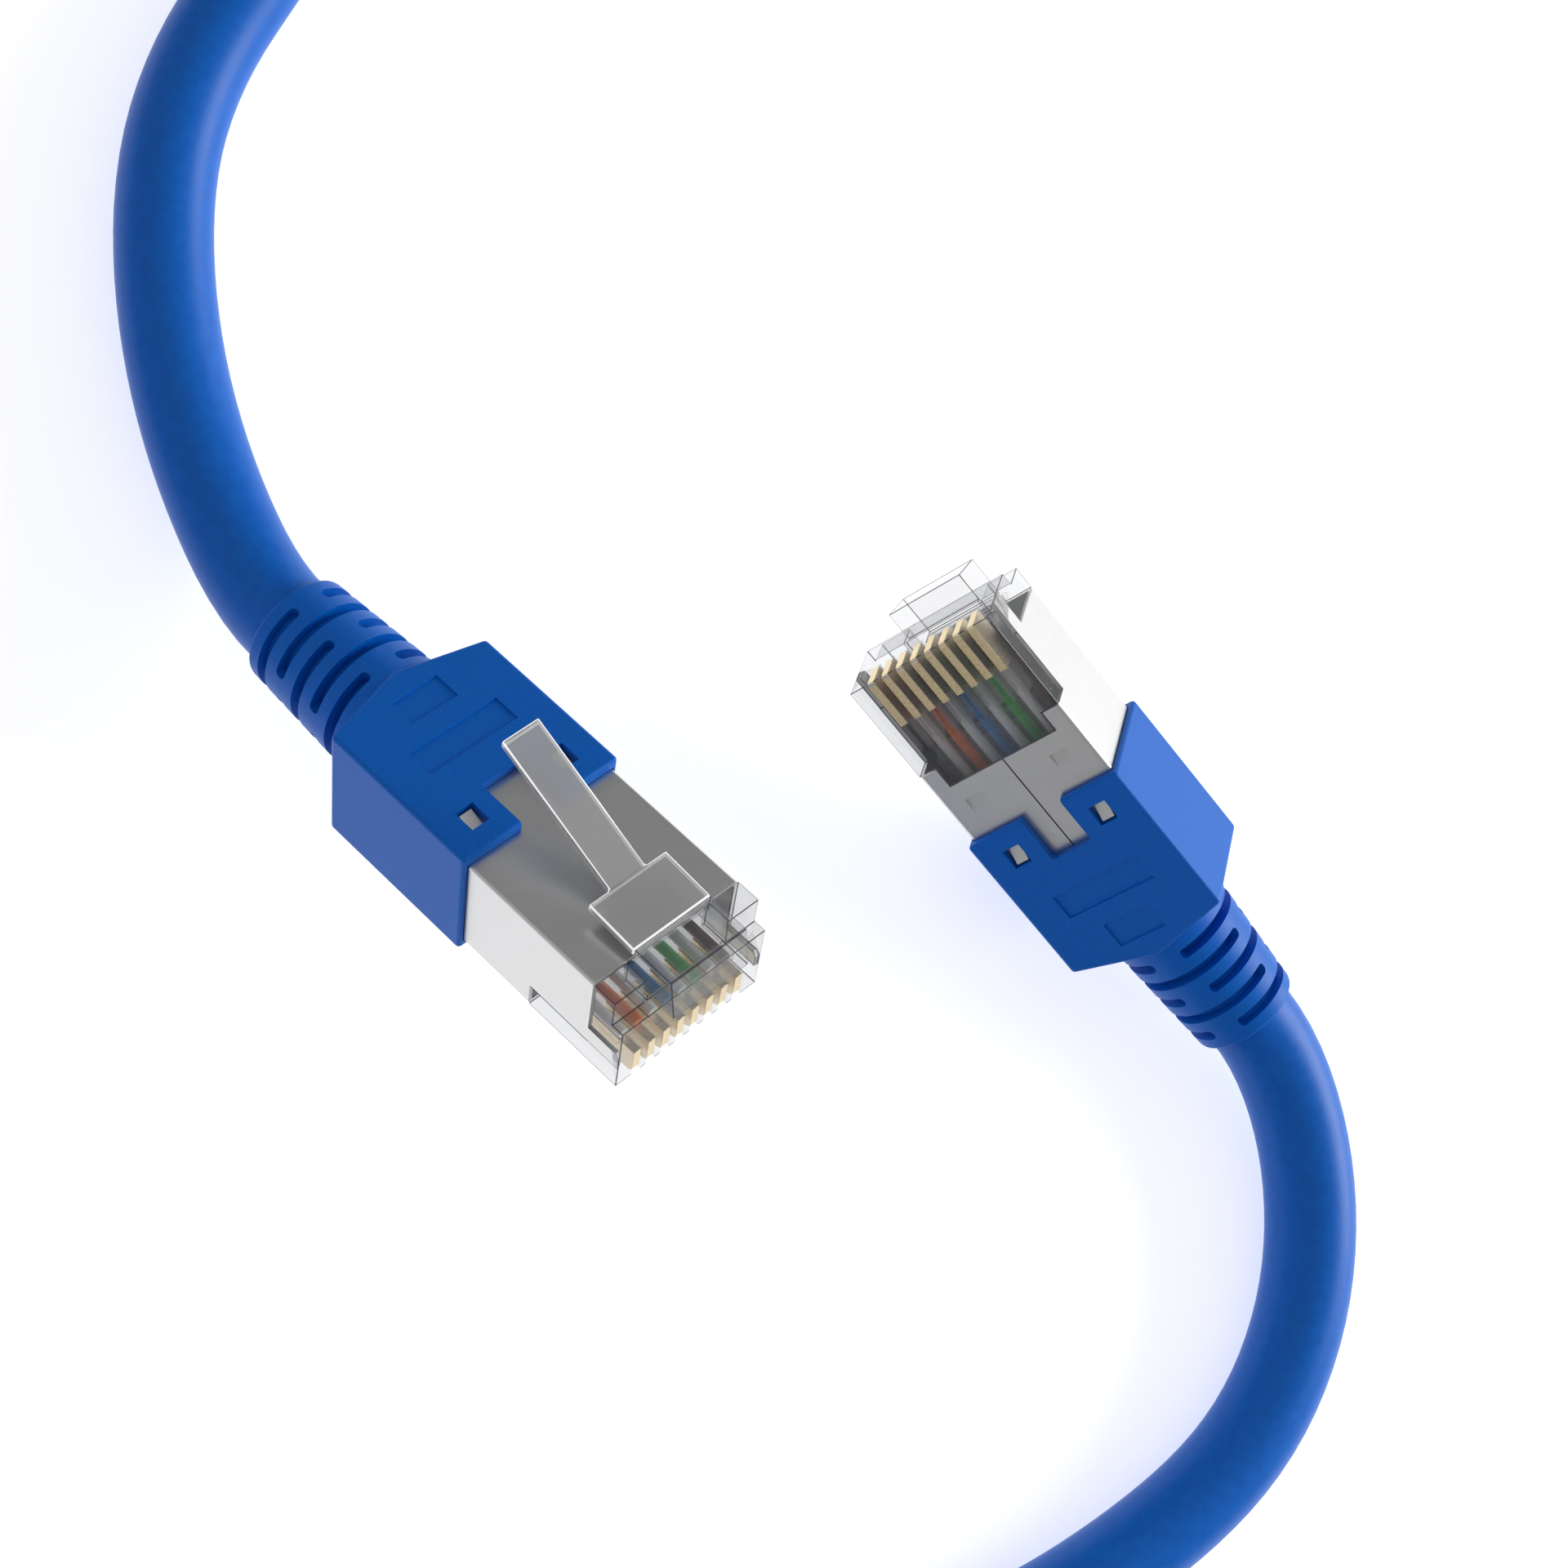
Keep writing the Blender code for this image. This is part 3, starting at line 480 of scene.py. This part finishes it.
def make_latch():
    """A wide shoulder that starts at the key's top, and a narrower lever that rises from its back."""
    (root_x, root_z), (tip_x, tip_z) = LEVER_ROOT, LEVER_TIP
    height = (root_z - LATCH_THICK, root_z)
    shoulder = block((root_x, SHOULDER_FRONT_X), (-SHOULDER_HALF, SHOULDER_HALF), height)
    open_up(shoulder)
    pick("verts", lambda vert: vert.co.x > HINGE_X)
    bpy.ops.transform.translate(value=(0, 0, KEY_TOP - 0.02 - root_z))
    close()
    lever = block((tip_x, root_x + LEVER_LAP), (-LEVER_HALF, LEVER_HALF), height)
    open_up(lever)
    bpy.ops.mesh.select_all(action="SELECT")
    bpy.ops.mesh.bisect(plane_co=(root_x, 0, 0), plane_no=(1, 0, 0))
    pick("verts", lambda vert: vert.co.x < root_x - PAST)
    bpy.ops.transform.translate(value=(0, 0, tip_z - root_z))
    # The end that laps into the shoulder is thinned, so that it stays inside the shoulder's slope.
    pick("faces", lambda face: middle(face).x > root_x + LEVER_LAP - NEAR)
    bpy.ops.transform.resize(value=(1, 1, 0.6), center_override=(0, 0, root_z - 0.28))
    close()
    add(shoulder, lever)
    edged(shoulder, LATCH_BEVEL)
    return smooth(shoulder, 20)


def make_contact():
    """A stamped blade on edge, rounded at its riding corner."""
    x, z = (CONTACT_BACK_X, CONTACT_FRONT_X), (CONTACT_BOTTOM, CONTACT_TOP)
    blade = block(x, (-CONTACT_HALF, CONTACT_HALF), z)
    corner = Vector((CONTACT_FRONT_X - NEAR, 0, CONTACT_BOTTOM + NEAR))
    soften(blade, CONTACT_CORNER, 6, lambda edge: middle(edge).x > corner.x and middle(edge).z < corner.z)
    soften(blade, CONTACT_BURR, 1, sharper_than=60)
    return smooth(blade, 40)


def smooth_step(share):
    """Eases from 0 to 1."""
    share = min(max(share, 0.0), 1.0)
    return share * share * (3 - 2 * share)


def wire_points(pin):
    """From the end of the jacket, where the wires form a ring, out to the flat row of the pins."""
    column, upper = divmod(pin, 2)
    ring_angle = math.radians(RING_ANGLES[column])
    ring_y = WIRE_RING * math.cos(ring_angle)
    ring_z = WIRE_RING * math.sin(ring_angle) * (-1 if upper else 1)
    points = []
    for x in np.linspace(WIRE_START_X, FLAT_ROW_X, WIRE_BENDS):
        spread = smooth_step((x - SPREAD_X) / (DROP_X - SPREAD_X))
        drop = smooth_step((x - DROP_X) / (FLAT_ROW_X - DROP_X))
        y = ring_y + (pin_y(pin) - ring_y) * spread
        z = AXIS_HEIGHT + ring_z + (WIRE_HEIGHT - AXIS_HEIGHT - ring_z) * drop
        points.append(Vector((x, y, z)))
    return [*points, Vector((WIRE_FRONT_X, pin_y(pin), WIRE_HEIGHT))]


def tube(name, points, diameter, resolution):
    """A round tube along the points."""
    curve = bpy.data.curves.new(name, "CURVE")
    curve.dimensions = "3D"
    curve.bevel_depth = diameter / 2
    curve.bevel_resolution = resolution
    curve.use_fill_caps = True
    line = curve.splines.new("POLY")
    line.points.add(len(points) - 1)
    for spot, point in zip(line.points, points):
        spot.co = (*point, 1)
    line.use_smooth = True
    made = bpy.data.objects.new(name, curve)
    bpy.context.scene.collection.objects.link(made)
    return made


def make_wire(pin):
    """One insulated wire, cut off square at the front."""
    choose(tube("wire", wire_points(pin), WIRE_DIAMETER, 5))
    bpy.ops.object.convert(target="MESH")
    return smooth(bpy.context.object, 40)


# ---------------------------------------------------------------- the cord


def place_of(plug):
    """The matrix that carries the plug's own frame, in millimetres, to where it lies in the world."""
    at, heading, nose_up, roll = PLUGS[plug]
    turn = Matrix.Translation(at) @ Euler((roll, -nose_up, heading)).to_matrix().to_4x4()
    return Matrix.Scale(MM, 4) @ turn


def smooth_route(knots, first_way, last_way, spacing):
    """Evenly spaced points on the cubic spline through the knots that leaves and ends the given ways."""
    knots = np.array(knots)
    chords = np.linalg.norm(np.diff(knots, axis=0), axis=1)
    slopes = np.diff(knots, axis=0) / chords[:, None]
    count = len(knots)
    system, right = np.zeros((count, count)), np.zeros((count, 3))
    system[0, :2] = 2 * chords[0], chords[0]
    system[-1, -2:] = chords[-1], 2 * chords[-1]
    right[0] = 6 * (slopes[0] - first_way)
    right[-1] = 6 * (last_way - slopes[-1])
    for i in range(1, count - 1):
        system[i, i - 1 : i + 2] = chords[i - 1], 2 * (chords[i - 1] + chords[i]), chords[i]
        right[i] = 6 * (slopes[i] - slopes[i - 1])
    bends = np.linalg.solve(system, right)
    fine = []
    for i, chord in enumerate(chords):
        for u in np.linspace(0, chord, STRETCH_SAMPLES, endpoint=False):
            v = chord - u
            curve = (bends[i] * v**3 + bends[i + 1] * u**3) / (6 * chord)
            ends = knots[i] * v / chord + knots[i + 1] * u / chord
            fine.append(curve + ends - chord / 6 * (bends[i] * v + bends[i + 1] * u))
    fine = np.array([*fine, knots[-1]])
    walked = np.concatenate([[0], np.cumsum(np.linalg.norm(np.diff(fine, axis=0), axis=1))])
    stops = np.linspace(0, walked[-1], round(walked[-1] / spacing) + 1)
    return [Vector([np.interp(stop, walked, fine[:, i]) for i in range(3)]) for stop in stops]


def cord_points():
    """The cord's middle line, from inside plug A's barrel to inside plug B's."""
    place_a, place_b = place_of("plug_a"), place_of("plug_b")
    start = Vector((CORD_START_X, 0, AXIS_HEIGHT))
    end = Vector((SLEEVE_END_X - SLEEVE_CLEARANCE, 0, AXIS_HEIGHT))
    knots = [place_a @ end, *(Vector(point) * MM for point in ROUTE), place_b @ end]
    out_of_a = (place_a.to_3x3() @ Vector((-1, 0, 0))).normalized()
    into_b = (place_b.to_3x3() @ Vector((1, 0, 0))).normalized()
    free = smooth_route(knots, np.array(out_of_a), np.array(into_b), CORD_SPACING * MM)
    return [place_a @ start, *free, place_b @ start]


# ---------------------------------------------------------------- materials


def linear(code):
    """An sRGB hex code as a linear colour."""
    parts = [int(code[i : i + 2], 16) / 255 for i in (1, 3, 5)]
    return (*(p / 12.92 if p <= 0.04045 else ((p + 0.055) / 1.055) ** 2.4 for p in parts), 1)


def node(tree, kind, settings=None, **inputs):
    """Adds a node; an input is given a value, or the output that feeds it. Underscores stand for spaces."""
    made = tree.nodes.new(kind)
    for key, value in (settings or {}).items():
        setattr(made, key, value)
    for key, value in inputs.items():
        name = key.replace("_", " ")
        socket = next(s for s in made.inputs if s.name == name and s.enabled)
        if isinstance(value, bpy.types.NodeSocket):
            tree.links.new(value, socket)
        else:
            socket.default_value = value
    return made


def finish(name, base, roughness, **settings):
    """A new material with one Principled shader; returns it with its tree and shader."""
    made = bpy.data.materials.new(name)
    made.use_nodes = True
    tree = made.node_tree
    shader = tree.nodes["Principled BSDF"]
    shader.inputs["Base Color"].default_value = linear(base)
    shader.inputs["Roughness"].default_value = roughness
    for key, value in settings.items():
        shader.inputs[key.replace("_", " ")].default_value = value
    return made, tree, shader


def mottle(tree, size_mm, detail=2.0, stretch=(1, 1, 1)):
    """Noise whose lumps are size_mm across."""
    place = node(tree, "ShaderNodeTexCoord").outputs["Object"]
    spread = node(tree, "ShaderNodeMapping", Vector=place, Scale=stretch).outputs["Vector"]
    lumps = node(tree, "ShaderNodeTexNoise", Vector=spread, Scale=1 / (size_mm * MM), Detail=detail)
    return lumps.outputs["Fac"]


def grain(tree, shader, size_mm, depth_mm, detail=2.0, stretch=(1, 1, 1)):
    """A bump of noise whose lumps are size_mm across and depth_mm deep."""
    lumps = mottle(tree, size_mm, detail, stretch)
    bump = node(tree, "ShaderNodeBump", Strength=1.0, Distance=depth_mm * MM, Height=lumps)
    tree.links.new(bump.outputs["Normal"], shader.inputs["Normal"])
    return lumps


def between(tree, factor, low, high):
    """The factor stretched over a new range."""
    return node(
        tree, "ShaderNodeMapRange", None, Value=factor, From_Min=0.3, From_Max=0.7, To_Min=low, To_Max=high
    ).outputs["Result"]


def tinted(tree, shader, factor, dark, light):
    """Mottles the base colour between two close tones."""
    ramp = node(tree, "ShaderNodeValToRGB", Fac=factor)
    ramp.color_ramp.elements[0].position, ramp.color_ramp.elements[0].color = 0.35, linear(dark)
    ramp.color_ramp.elements[1].position, ramp.color_ramp.elements[1].color = 0.65, linear(light)
    tree.links.new(ramp.outputs["Color"], shader.inputs["Base Color"])


def moulded_pvc_boot():
    """Soft PVC from a spark-eroded mould: an even satin grain that breaks up the shine."""
    made, tree, shader = finish("moulded_pvc_boot", PVC_BLUE, 0.42, IOR=1.45, Specular_IOR_Level=0.2)
    lumps = grain(tree, shader, 0.22, 0.004, 3.0)
    tree.links.new(between(tree, lumps, 0.38, 0.46), shader.inputs["Roughness"])
    tinted(tree, shader, lumps, PVC_DARK, PVC_LIGHT)
    return made


def extruded_pvc_jacket():
    """PVC drawn through a die: smoother than the boot, with faint long waves."""
    made, tree, shader = finish("extruded_pvc_jacket", PVC_BLUE, 0.38, IOR=1.45, Specular_IOR_Level=0.25)
    lumps = grain(tree, shader, 0.8, 0.002, 2.0)
    tree.links.new(between(tree, lumps, 0.36, 0.42), shader.inputs["Roughness"])
    tinted(tree, shader, lumps, PVC_DARK, PVC_LIGHT)
    return made


def nickelled_brass_sheet():
    """Thin brass sheet, nickel plated: a soft blurred mirror with the faint lines of rolling."""
    made, tree, shader = finish("nickelled_brass_sheet", "#D4D4D3", 0.3, Metallic=1.0)
    lines = mottle(tree, 0.5, 2.0, (0.12, 1, 1))
    tree.links.new(between(tree, lines, 0.29, 0.31), shader.inputs["Roughness"])
    tinted(tree, shader, lines, "#D3D3D2", "#D5D5D4")
    return made


def clear_polycarbonate():
    """Injection-moulded polycarbonate: water-clear, bright at its edges, faintly wavy inside."""
    made, tree, shader = finish(
        "clear_polycarbonate", "#B0B2B5", 0.02, IOR=1.45, Transmission_Weight=0.4, Alpha=0.22
    )
    grain(tree, shader, 2.5, 0.0005, 1.0)
    return made


def painted_edge_line(name, colour, painted_glow):
    """The small rounding along a clear moulding's edges: a thin painted line, dark as painted shade, or white
    and glowing as a painted highlight.
    """
    made, tree, shader = finish(f"polycarbonate_{name}_edge", colour, 0.15, IOR=1.58, Alpha=0.9)
    shader.inputs["Emission Color"].default_value = linear(colour)
    shader.inputs["Emission Strength"].default_value = painted_glow
    grain(tree, shader, 2.5, 0.0005, 1.0)
    return made


def latch_polycarbonate_painted_haze():
    """The latch's polycarbonate, which looks slightly grey and hazy because the eye sees along it; its grey
    base colour is painted haze and reflection.
    """
    made, tree, shader = finish("latch_polycarbonate_painted_haze", "#C8C8C8", 0.05, IOR=1.4, Transmission_Weight=0.5)
    grain(tree, shader, 2.5, 0.0005, 1.0)
    return made


def gold_plated_contact():
    """Phosphor bronze, stamped and gold plated: warm and lightly brushed along its length."""
    made, tree, shader = finish("gold_plated_contact", "#E6D2A8", 0.3, Metallic=1.0)
    lines = grain(tree, shader, 0.12, 0.001, 2.0, (0.2, 1, 1))
    tree.links.new(between(tree, lines, 0.26, 0.36), shader.inputs["Roughness"])
    return made


def polyethylene_insulation(name, colour):
    """Extruded polyethylene over copper: waxy, with a faint mottle."""
    made, tree, shader = finish(f"polyethylene_{name}", colour, 0.35, IOR=1.5)
    lumps = grain(tree, shader, 0.3, 0.004, 2.0)
    tree.links.new(between(tree, lumps, 0.32, 0.42), shader.inputs["Roughness"])
    return made


def tinned_copper_braid():
    """Fine tinned copper wires woven round the pairs: two crossing sets of ridges."""
    made, tree, shader = finish("tinned_copper_braid", "#B9B9BA", 0.35, Metallic=1.0)
    place = node(tree, "ShaderNodeTexCoord").outputs["Object"]
    high = node(tree, "ShaderNodeMath", {"operation": "MAXIMUM"})
    for socket, lean in zip(high.inputs, (35, -35)):
        turn = (0, 0, math.radians(lean))
        way = node(tree, "ShaderNodeMapping", Vector=place, Rotation=turn).outputs["Vector"]
        waves = node(tree, "ShaderNodeTexWave", Vector=way, Scale=1 / (2.5 * MM))
        tree.links.new(waves.outputs["Fac"], socket)
    bump = node(tree, "ShaderNodeBump", Strength=1.0, Distance=0.08 * MM, Height=high.outputs["Value"])
    tree.links.new(bump.outputs["Normal"], shader.inputs["Normal"])
    return made


def aluminium_foil():
    """Aluminium foil wrapped round the pairs: bright, with fine creases."""
    made, tree, shader = finish("aluminium_foil", "#C9CACC", 0.3, Metallic=1.0)
    grain(tree, shader, 0.6, 0.03, 4.0)
    return made


# ---------------------------------------------------------------- putting it together


def settle(piece, name, plug, body, nodes, surfaces):
    """Carries a copy of the piece, made in the plug's frame, to the plug; it stands for those nodes."""
    mesh = piece.data.copy()
    mesh.transform(place_of(plug))
    mesh.name = name
    make_slots(mesh, len(surfaces))
    for index, surface in enumerate(surfaces):
        mesh.materials[index] = surface
    made = bpy.data.objects.new(name, mesh)
    bpy.context.scene.collection.objects.link(made)
    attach(made, body)
    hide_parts(*nodes)


def shifted(piece, y):
    """A copy of the piece moved sideways, with its own mesh."""
    copy = piece.copy()
    copy.data = piece.data.copy()
    copy.data.transform(Matrix.Translation((0, y, 0)))
    bpy.context.scene.collection.objects.link(copy)
    return copy


def dress(name, surface):
    """Gives a CAD node that keeps its own shape its surface."""
    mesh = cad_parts[name].data
    mesh.materials.clear()
    mesh.materials.append(surface)


def make_camera():
    """The view that the object is looked at from at rest."""
    data = bpy.data.cameras.new("camera")
    data.lens = 69.24
    data.clip_start, data.clip_end = 0.01, 10
    camera = bpy.data.objects.new("camera", data)
    bpy.context.scene.collection.objects.link(camera)
    right, up = Vector((0.9539392, 0, 0.3)), Vector((-0.03144855, 0.99449032, 0.1))
    turn = Matrix((right, up, right.cross(up))).transposed().to_4x4()
    camera.matrix_world = Matrix.Translation((-0.061035, -0.018785, 0.19922)) @ turn
    bpy.context.scene.camera = camera


def lay_cord():
    """The blue cord that runs from one plug to the other."""
    points = cord_points()
    cord = tube("cable_jacket_cord", points, CORD_DIAMETER * MM, 14)
    cord.data.materials.append(extruded_pvc_jacket())
    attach(cord, "root")
    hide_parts("cable_jacket")


def build_plugs():
    """Makes each piece once, and puts a copy of it on both plugs."""
    # The housing's roundings get a dark painted shade line; the latch's get a white painted highlight that
    # glows.
    clear = [clear_polycarbonate(), painted_edge_line("dark", "#26282C", 0)]
    # The latch's grey base colour is painted haze and reflection.
    latch_painted_surfaces = [latch_polycarbonate_painted_haze(), painted_edge_line("bright", "#FFFFFF", 0.4)]
    nickel, gold, plastic = [nickelled_brass_sheet()], [gold_plated_contact()], [moulded_pvc_boot()]
    braid, foil = tinned_copper_braid(), aluminium_foil()
    contact = make_contact()
    # Each piece's name, its shape, the slot its material fills, and its materials.
    pieces = [
        ("housing", make_housing(), "clear_plastic", clear),
        ("latch", make_latch(), "clear_plastic", latch_painted_surfaces),
        ("shield", make_shield(), "nickelled_sheet", nickel),
        ("boot", make_boot(), "blue_boot", plastic),
        ("load_bar", make_load_bar(), "clear_plastic", clear),
    ]
    for pin, (colour, code) in enumerate(WIRES):
        wire = make_wire(pin)
        insulation = [polyethylene_insulation(colour, code)]
        pieces.append((f"wire_{pin + 1}_{colour}", wire, f"wire_{colour}", insulation))
        pieces.append((f"contact_{pin + 1}", shifted(contact, pin_y(pin)), "gold_contact", gold))
    for plug in PLUGS:
        latch_body = plug.replace("plug", "latch")
        for part, piece, slot, surfaces in pieces:
            body = latch_body if part == "latch" else "root"
            settle(piece, f"{plug}_{part}_piece", plug, body, [f"{plug}_{part}"], surfaces)
        dress(f"{plug}_braid", braid)
        dress(f"{plug}_foil", foil)
    for piece in [contact, *(row[1] for row in pieces)]:
        bpy.data.objects.remove(piece, do_unlink=True)


def lamp(name, at, aim, size, power):
    """A square white softbox at a point in metres, turned to face another."""
    data = bpy.data.lights.new(name, "AREA")
    data.shape, data.size, data.energy = "SQUARE", size, power
    made = bpy.data.objects.new(name, data)
    bpy.context.scene.collection.objects.link(made)
    made.location = at
    made.rotation_mode = "QUATERNION"
    made.rotation_quaternion = (Vector(aim) - Vector(at)).to_track_quat("-Z", "Y")


def light_studio():
    """A grey surround, a low key light, and a white floor that glows a little."""
    scene = bpy.context.scene
    scene.view_settings.view_transform = "Standard"
    # The surround is bright overhead and at the sides, and dims towards the front and the back.
    scene.world = bpy.data.worlds.new("studio")
    scene.world.use_nodes = True
    tree = scene.world.node_tree
    way = node(tree, "ShaderNodeTexCoord").outputs["Generated"]
    depth = node(tree, "ShaderNodeSeparateXYZ", Vector=way).outputs["Y"]
    share = node(tree, "ShaderNodeMapRange", None, Value=depth, From_Min=-1.0, From_Max=1.0).outputs["Result"]
    ramp = node(tree, "ShaderNodeValToRGB", Fac=share)
    for position, grey in ((0.25, 0.45), (0.8, 0.5)):
        ramp.color_ramp.elements.new(position).color = (grey, grey, grey, 1)
    ramp.color_ramp.elements[0].color = (0.25, 0.25, 0.25, 1)
    ramp.color_ramp.elements[-1].color = (0.2, 0.2, 0.2, 1)
    backdrop = tree.nodes["Background"]
    tree.links.new(ramp.outputs["Color"], backdrop.inputs["Color"])
    backdrop.inputs["Strength"].default_value = 1.0
    lamp("key", (0.66, 0.07, 0.22), (0, 0, 0), 0.4, 4.2)
    bpy.ops.object.select_all(action="DESELECT")
    bpy.ops.mesh.primitive_plane_add(size=6)
    floor = bpy.context.object
    floor.name = "floor"
    white, _, _ = finish("white_sweep", "#F2F2F2", 0.9, Emission_Color=(1, 1, 1, 1), Emission_Strength=0.6)
    floor.data.materials.append(white)


make_camera()
lay_cord()
build_plugs()
light_studio()
